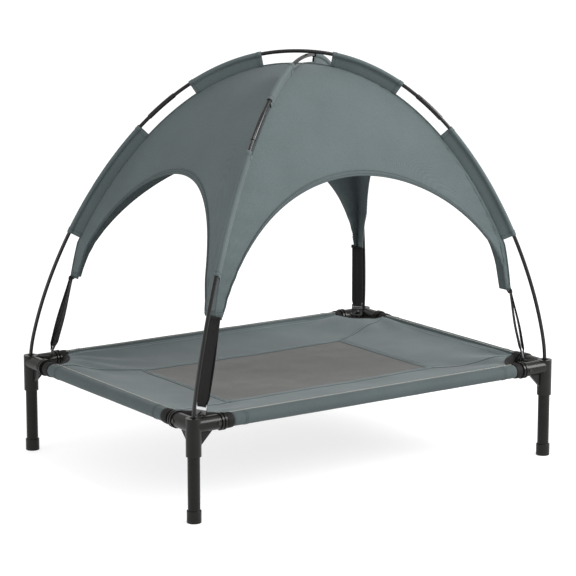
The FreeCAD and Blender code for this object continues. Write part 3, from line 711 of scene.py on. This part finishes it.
def binding_ring_row(sx, sy, long_rail, angle):
    """The tape's cross line at one angle round a sleeve's end, from the free edge to the cloth."""
    centre = Vector((sx * HALF_X, sy * HALF_Y, RAIL_Z))
    inward, along = rail_ways(sx, sy, long_rail)
    first, last = (BINDING_LONG, SLEEVE_LONG) if long_rail else (BINDING_SIDE, SLEEVE_SIDE)
    normal = inward * math.cos(angle) + UP * math.sin(angle)
    row = []
    for t in spread(0, 1, 9):
        radius = CLOTH_R + 0.0010 + 0.0007 * math.sin(math.pi * t) ** 0.7
        row.append(centre + along * (first + (last + 0.0015 - first) * t) + normal * radius)
    return row


def build_binding(corner, sx, sy):
    """Black tape round both sleeve ends and along the cut-out between them, one folded band."""
    turn = spread(math.radians(352), math.radians(34), 34)
    rows = [binding_ring_row(sx, sy, True, angle) for angle in turn]
    first, last = rows[-1], binding_ring_row(sx, sy, False, turn[-1])
    ax, ay, bx, by = CUT_X, EDGE_Y, EDGE_X, CUT_Y
    outward = Vector((sx * (ay - by), sy * (bx - ax), 0)).normalized()
    for t in spread(0, 1, 30)[1:-1]:
        inner = Vector((sx * (ax + (bx - ax) * t), sy * (ay + (by - ay) * t), 0))
        inner -= outward * (TAPE_HOLLOW * math.sin(math.pi * t))
        inner.z = tray_height(inner.x, inner.y) + 0.0014
        row = []
        for j in range(9):
            w = 1 - j / 8
            target = inner + outward * (TAPE_REACH * math.sin(w * 1.35)) - UP * (TAPE_DROP * w * w)
            row.append(first[j].lerp(last[j], t).lerp(target, smooth(min(t, 1 - t) / 0.16)))
        rows.append(row)
    rows += [binding_ring_row(sx, sy, False, angle) for angle in reversed(turn)]
    obj = grid("corner_binding_%s_tape" % corner, rows, BINDING, 0.0011, 0.0)
    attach(obj, "bed")
    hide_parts("corner_binding_" + corner)


# ---------------------------------------------------------------- canopy curves

def pole_angle(station):
    return math.asin((abs(station) / HALF_DIAGONAL) ** (FLATNESS / 2))


def rise_direction(pole):
    data = POLES[pole]
    return (LEAN_WAY * data["lean"] + UP * (data["top"] - POLE_BASE)).normalized()


def pole_point(pole, side, angle):
    """Point of a half arch's centre line, from its socket (90 degrees) to the crossing (0)."""
    data = POLES[pole]
    reach = HALF_DIAGONAL * math.sin(angle) ** (2 / FLATNESS)
    rise = max(math.cos(angle), 0.0) ** (2 / STEEPNESS)
    return data["run"] * (side * reach) + LEAN_WAY * (data["lean"] * rise) \
        + UP * (POLE_BASE + (data["top"] - POLE_BASE) * rise)


def pole_tangent(pole, side, angle):
    step = 1e-3
    ahead = pole_point(pole, side, min(angle + step, math.pi / 2))
    return (ahead - pole_point(pole, side, max(angle - step, 1e-9))).normalized()


def arch_normal(pole):
    return POLES[pole]["run"].cross(rise_direction(pole)).normalized()


def inward_normal(pole, side, angle):
    return pole_tangent(pole, side, angle).cross(arch_normal(pole)) * side


def ridge_point(pole, side, angle, lift=0.0):
    """Point of the canopy's ridge, hanging below its pole by the sleeve's depth."""
    top_drop = POLES[pole]["drop"]
    drop = top_drop + (SIDE_DROP - top_drop) * math.sin(angle)
    point = pole_point(pole, side, angle)
    below = LOW_START - point.z
    if below > 0:
        drop += LOW_DROP * min(1.0, below / LOW_RUN)
    return point + inward_normal(pole, side, angle) * (drop - lift)


def angle_at_height(pole, height):
    rise = (height - POLE_BASE) / (POLES[pole]["top"] - POLE_BASE)
    return math.acos(rise ** (STEEPNESS / 2))


LOW_ANGLE = {corner: angle_at_height(HALF_OF[corner][0], HEMS[corner]) for corner in CORNERS}


def ridge_row(corner, fraction):
    pole, side = HALF_OF[corner]
    return ridge_point(pole, side, max(LOW_ANGLE[corner] * fraction, 1e-4))


APEX = sum((ridge_row(corner, 0.0) for corner in CORNERS), Vector()) / 4


# ---------------------------------------------------------------- canopy gores

GORE_HOLLOW, COLUMNS, ROWS = 0.016, 121, 64


def gore_way(name):
    return {"front": Vector((0, -1, 0)), "back": Vector((0, 1, 0)),
            "left": Vector((-1, 0, 0)), "right": Vector((1, 0, 0))}[name]


def gore_point(name, u, v):
    """Point of a gore: u across from ridge to ridge, v down from the top to the hems."""
    first, second = GORES[name]
    a, b = ridge_row(first, v), ridge_row(second, v)
    settle = smooth(v / 0.06)
    a, b = APEX.lerp(a, settle), APEX.lerp(b, settle)
    p = a.lerp(b, u)
    span = (b - a).length
    inward = -gore_way(name)
    hollow = 4 * u * (1 - u)
    return p + (inward * 0.6 - UP * 0.8) * (GORE_HOLLOW * span * hollow)


def arch_height(name, p):
    """Height of the arched opening where p is across it, or -1 beyond its ends."""
    long_side = name in ("front", "back")
    half = ARCH_LONG if long_side else ARCH_SHORT
    across = (p.x - ARCH_SHIFT) if long_side else p.y
    inside = 1 - (across / half) ** 2
    if inside <= 0:
        return -1.0
    return ARCH_BASE + (ARCH_TOP - ARCH_BASE) * inside ** (1 / ARCH_POWER)


def opening(name, u):
    """How far down the gore the cloth runs at u before the arched opening cuts it."""
    low, high = 0.3, 1.0
    if gore_point(name, u, high).z >= arch_height(name, gore_point(name, u, high)):
        return 1.0
    for _ in range(26):
        middle = (low + high) / 2
        p = gore_point(name, u, middle)
        if p.z >= arch_height(name, p):
            low = middle
        else:
            high = middle
    return low


def gore_rows(name):
    """Points of a gore, with puckers along its ridges and slow waves."""
    us = [0.5 - 0.5 * math.cos(math.pi * t) for t in spread(0, 1, COLUMNS)]
    limits = [opening(name, u) for u in us]
    rows = []
    for i in range(ROWS):
        w = i / (ROWS - 1)
        w = 1 - (1 - w) ** 1.35
        row = []
        for u, limit in zip(us, limits):
            v = w * limit
            p = gore_point(name, u, v)
            edge = min(u, 1 - u)
            n = gore_way(name)
            pucker = 0.0010 * smooth(1 - edge / 0.10) * math.sin(150 * v + 3 * bend((p.x, p.y, p.z), 9, 2))
            calm = smooth(v / 0.15) * smooth(edge / 0.01)
            row.append(p + n * ((pucker + 0.0016 * bend(p, 6.5, 4.0)) * calm))
        rows.append(row)
    return rows


def hem_normals(rows, way):
    """Outward normals along a gore's lowest row."""
    normals = []
    row, above = rows[-1], rows[-2]
    for j, p in enumerate(row):
        along = row[min(j + 1, len(row) - 1)] - row[max(j - 1, 0)]
        n = along.cross(p - above[j])
        if n.length < 1e-12:
            n = Vector(way) + UP * 0.3
        n.normalize()
        if n.dot(way + UP * 0.5) < 0:
            n = -n
        normals.append(n)
    return normals


# section of the folded hem: distance up from the edge, and out of the cloth
HEM_PROFILE = [(-0.0006, -0.0013), (-0.0012, 0.0), (-0.0006, 0.0013), (0.002, 0.0017),
               (0.006, 0.0016), (0.0105, 0.0015), (0.012, 0.0006)]
HEM_ROWS = (0.0032, 0.0095)


def build_gore(name):
    """One gore, the folded hem of its arched opening and the two stitch rows on it."""
    rows = gore_rows(name)
    obj = grid("canopy_gore_%s_cloth" % name, rows, CANOPY_CLOTH, 0.0006, 0.0)
    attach(obj, "canopy")
    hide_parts("canopy_gore_" + name)
    normals = hem_normals(rows, gore_way(name))
    ups = [(rows[-4][j] - p).normalized() for j, p in enumerate(rows[-1])]
    edge = list(zip(rows[-1], ups, normals))
    band = grid("canopy_hem_%s" % name, [[p + up * a + n * b for a, b in HEM_PROFILE] for p, up, n in edge],
                SEAM_CLOTH, 0.0005, 0.0)
    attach(band, "canopy")
    parts = []
    for offset in HEM_ROWS:
        parts += stitch_parts([p + up * offset + n * 0.0022 for p, up, n in edge], normals)
    thread = join_meshes("hem_stitches_" + name, parts, DARK_THREAD)
    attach(thread, "canopy")


def build_ridge(corner):
    """Piped seam down one ridge, from the top to the tail's hem."""
    pole, side = HALF_OF[corner]
    path = []
    for t in spread(0, 1, 90):
        p = ridge_point(pole, side, max(LOW_ANGLE[corner] * t, 1e-4), 0.0008)
        path.append(APEX.lerp(p, smooth(t / 0.06)))
    obj = join_meshes("ridge_seam_" + corner, [tube_part(path, 0.0016, 8)], SEAM_CLOTH)
    layer = obj.data.uv_layers.new(name="cloth")
    for loop in obj.data.loops:
        co = obj.data.vertices[loop.vertex_index].co
        layer.data[loop.index].uv = (co.z, co.x + co.y)
    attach(obj, "canopy")


# ---------------------------------------------------------------- pole sleeves

# stations from the crossing along a diagonal: where the upper sleeves start, the gap, where the lower end
SLEEVE_TOPS = {"front_left": 0.095, "back_left": 0.075, "front_right": 0.075, "back_right": 0.045}
SLEEVE_GAP_IN, SLEEVE_GAP_OUT, SLEEVE_LOW = 0.224, 0.327, 0.474
CUFF, CUFF_STITCH = 0.011, 0.0095


def sleeve_profile(pole, side, angle, extra):
    """Keyhole section: up one side of the strip, round the pole, down the other side."""
    centre = pole_point(pole, side, angle)
    inward = inward_normal(pole, side, angle)
    across = arch_normal(pole)
    ridge = ridge_point(pole, side, angle, 0.0004)
    depth = (ridge - centre).length
    thin, tube = 0.0008 + extra, POLE_R + 0.0009 + extra
    neck = math.asin(min(1, thin / tube))
    points = []
    for t in spread(0, 1, 8)[:-1]:
        d = depth + (tube * math.cos(neck) - depth) * t
        belly = 0.0007 * math.sin(math.pi * t)
        points.append(centre + inward * d + across * (thin + belly))
    for angle_round in spread(neck, 2 * math.pi - neck, 22):
        points.append(centre + inward * (tube * math.cos(angle_round))
                      + across * (tube * math.sin(angle_round)))
    for t in spread(1, 0, 8)[1:]:
        d = depth + (tube * math.cos(neck) - depth) * t
        belly = 0.0007 * math.sin(math.pi * t)
        points.append(centre + inward * d - across * (thin + belly))
    return points


def build_pole_sleeve(corner, part, inner_station, outer_station):
    """Cloth strip folded round a pole and sewn into the ridge, with a hemmed end each way."""
    pole, side = HALF_OF[corner]
    first, last = pole_angle(inner_station), pole_angle(outer_station)
    length = outer_station - inner_station
    angles = [first + (last - first) * t for t in spread(0, 1, 60)]
    arc = [pole_point(pole, side, angle) for angle in angles]
    run = [0.0]
    for p, q in zip(arc, arc[1:]):
        run.append(run[-1] + (q - p).length)
    total = run[-1]
    points = []
    for angle, at in zip(angles, run):
        near = min(at, total - at)
        extra = 0.0007 * smooth((CUFF - near) / 0.0015) + 0.0002 * bend((at, length, 0.3), 40, 2)
        points.append(sleeve_profile(pole, side, angle, extra))
    name = "pole_sleeve_%s_%s" % (part, corner)
    obj = grid(name + "_cloth", points, CANOPY_CLOTH, 0.0005, 0.0)
    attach(obj, "canopy")
    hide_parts(name)
    parts = []
    for at_end in (CUFF_STITCH, total - CUFF_STITCH):
        angle = angles[min(range(len(run)), key=lambda k: abs(run[k] - at_end))]
        profile = sleeve_profile(pole, side, angle, 0.0010)
        tangent = pole_tangent(pole, side, angle)
        normals = []
        for k in range(len(profile)):
            along = profile[min(k + 1, len(profile) - 1)] - profile[max(k - 1, 0)]
            normals.append(along.cross(tangent).normalized())
        if normals[1].dot(arch_normal(pole)) < 0:
            normals = [-n for n in normals]
        parts += stitch_parts(profile, normals)
    thread = join_meshes(name + "_stitches", parts, DARK_THREAD)
    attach(thread, "canopy")


# ---------------------------------------------------------------- hold-down straps

# the foot of a strap, in its plate: station on the diagonal and height
FOOT_STATION, FOOT_HEIGHT = 0.506, 0.226
# each loop at a tail: above and below the hem, half width, and depth to the outside and the inside
LOOP_TOP, LOOP_BELOW, LOOP_HALF, LOOP_OUT, LOOP_IN = -0.0012, 0.0040, 0.0142, 0.0029, 0.0060
# each strap: start below the hem, half width there and in the plate, layer, and half gap at both ends
STRAP_TOP, STRAP_HALF, STRAP_END_HALF, STRAP_LAYER = 0.0026, 0.0125, 0.010, 0.0017
GAP_TOP, GAP_MIDDLE, GAP_TURN = 0.0009, 0.0042, 0.00285
STRAP_TWIST = {"front_left": 4, "back_left": -17, "front_right": 10, "back_right": 6}
TWIST_AT_TOP = 0.45


def strap_frame(corner):
    sx, sy = CORNERS[corner]
    way = Vector((sx * HALF_X, sy * HALF_Y, 0)).normalized()
    hem = ridge_row(corner, 1.0)
    foot = way * FOOT_STATION + UP * FOOT_HEIGHT
    down = (foot - hem).normalized()
    across = down.cross(UP).normalized()
    out = across.cross(down).normalized()
    if out.dot(way) < 0:
        out = -out
    return hem, foot, across, down, out


def build_tail_loop(corner):
    """Flat black loop sewn to the end of a tail: its strap starts inside it and can swing inwards."""
    hem, _, across, down, out = strap_frame(corner)
    twist = math.radians(STRAP_TWIST[corner]) * TWIST_AT_TOP
    level = across * math.cos(twist) + out * math.sin(twist)
    face = out * math.cos(twist) - across * math.sin(twist)
    rows = []
    for d in spread(LOOP_TOP, LOOP_BELOW, 7):
        row = []
        for a in spread(0, 2 * math.pi, 37)[:-1]:
            x = math.copysign(abs(math.cos(a)) ** 0.4, math.cos(a))
            y = math.copysign(abs(math.sin(a)) ** 0.4, math.sin(a))
            depth = LOOP_OUT if y > 0 else LOOP_IN
            row.append(hem + down * d + level * (LOOP_HALF * x) + face * (depth * y))
        rows.append(row)
    obj = grid("tail_loop_" + corner, rows, ELASTIC, 0.0008, 0.0, close=True)
    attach(obj, "canopy")


def strap_gap(share):
    """Half the distance between a strap's two layers, from its top (0) to its turn in the plate (1)."""
    if share < 0.6:
        return GAP_TOP + (GAP_MIDDLE - GAP_TOP) * smooth(share / 0.6)
    return GAP_MIDDLE + (GAP_TURN - GAP_MIDDLE) * smooth((share - 0.6) / 0.4)


def build_strap(corner):
    """Elastic doubled through the plate: both layers as one long band, slightly rippled."""
    hem, foot, across, down, out = strap_frame(corner)
    length = (foot - hem).length
    layer_line = [(d, strap_gap(d / length)) for d in spread(STRAP_TOP, length, 60)]
    turn = [(length + GAP_TURN * math.sin(a), GAP_TURN * math.cos(a)) for a in spread(0, math.pi, 9)[1:-1]]
    back = [(d, -g) for d, g in reversed(layer_line)]
    rows = []
    for d, g in layer_line + turn + back:
        taper = smooth((d - (length - 0.014)) / 0.012)
        half = STRAP_HALF + (STRAP_END_HALF - STRAP_HALF) * taper
        half *= 1 + 0.012 * bend((d * 3, g, 0), 60, 7)
        at = clamp(d / length)
        twist = math.radians(STRAP_TWIST[corner]) * (TWIST_AT_TOP + (1 - TWIST_AT_TOP) * at)
        twist *= smooth((1 - at) / 0.09)
        level = across * math.cos(twist) + out * math.sin(twist)
        row = []
        for t in spread(-1, 1, 13):
            ripple = 0.00025 * math.sin(t * 9) * (1 - abs(t))
            row.append(hem + down * d + out * (g + ripple) + level * (half * t))
        rows.append(row)
    lengthwise = [list(line) for line in zip(*rows)]
    obj = grid("hold_strap_%s_elastic" % corner, lengthwise, ELASTIC, STRAP_LAYER, 0.0)
    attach(obj, "strap_" + corner)
    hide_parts("hold_strap_" + corner)


# ---------------------------------------------------------------- studio

def look(azimuth, elevation):
    """Unit vectors (back, right, up) of a view from that azimuth and elevation, in degrees."""
    a, e = math.radians(azimuth), math.radians(elevation)
    back = Vector((math.sin(a) * math.cos(e), -math.cos(a) * math.cos(e), math.sin(e)))
    right = Vector((math.cos(a), math.sin(a), 0))
    return back, right, back.cross(right)


def build_camera():
    """A long lens at the photograph's viewing angle, for a picture 576 pixels wide."""
    focal_px, width_px, sensor = 2422.0, 576.0, 36.0
    back, right, up = look(-34.38, 11.43)
    data = bpy.data.cameras.new("camera")
    data.sensor_width = sensor
    data.lens = focal_px / width_px * sensor
    camera = bpy.data.objects.new("camera", data)
    bpy.context.scene.collection.objects.link(camera)
    camera.location = right * 0.0029 + up * 0.3556 + back * 5.260
    camera.rotation_mode = "QUATERNION"
    camera.rotation_quaternion = (-back).to_track_quat("-Z", "Y")
    data.clip_start, data.clip_end = 0.1, 60
    bpy.context.scene.camera = camera


def area_light(name, azimuth, elevation, distance, size, power, colour=(1, 1, 1)):
    back, _, _ = look(azimuth, elevation)
    data = bpy.data.lights.new(name, "AREA")
    data.shape = "DISK"
    data.size = size
    data.energy = power
    data.color = colour
    light = bpy.data.objects.new(name, data)
    bpy.context.scene.collection.objects.link(light)
    light.location = Vector((0, 0, 0.4)) + back * distance
    light.rotation_mode = "QUATERNION"
    light.rotation_quaternion = back.to_track_quat("Z", "Y")


def build_stage():
    """Pale floor, white world, three soft lights and a plain view transform."""
    material = bpy.data.materials.new("floor_pale")
    tree, shader = nodes_of(material)
    faint = noise_tex(tree, object_coords(tree), 3.0, 2.0)
    tree.links.new(ramp(tree, faint, [(0.3, (0.36, 0.36, 0.36)), (0.7, (0.38, 0.38, 0.38))]),
                   shader.inputs["Base Color"])
    shader.inputs["Roughness"].default_value = 0.9
    shader.inputs["Specular IOR Level"].default_value = 0.1
    shader.inputs["Emission Color"].default_value = (1, 1, 1, 1)
    shader.inputs["Emission Strength"].default_value = 0.72
    size = 30
    corners = [(-size, -size, -0.0005), (size, -size, -0.0005), (size, size, -0.0005), (-size, size, -0.0005)]
    floor = new_object("studio_floor", corners, [(0, 1, 2, 3)], material, shade=False)
    world = bpy.data.worlds.new("studio")
    bpy.context.scene.world = world
    world.use_nodes = True
    background = world.node_tree.nodes["Background"]
    background.inputs["Color"].default_value = (1, 1, 1, 1)
    background.inputs["Strength"].default_value = 1.0
    area_light("key", 42, 30, 3.2, 1.8, 132)
    area_light("glint", -10, 68, 3.0, 0.45, 16)
    area_light("side_fill", -95, 0, 3.0, 2.0, 30)
    view = bpy.context.scene.view_settings
    view.view_transform = "Standard"
    view.look = "None"


# ---------------------------------------------------------------- make it all

build_camera()
dress_nodes()
build_bed()
build_sleeve_cuffs()
for corner, (sx, sy) in CORNERS.items():
    build_binding(corner, sx, sy)
for name in GORES:
    build_gore(name)
for corner in CORNERS:
    build_ridge(corner)
    build_pole_sleeve(corner, "upper", SLEEVE_TOPS[corner], SLEEVE_GAP_IN)
    build_pole_sleeve(corner, "lower", SLEEVE_GAP_OUT, SLEEVE_LOW)
    build_strap(corner)
    build_tail_loop(corner)
build_stage()

bpy.context.view_layer.update()
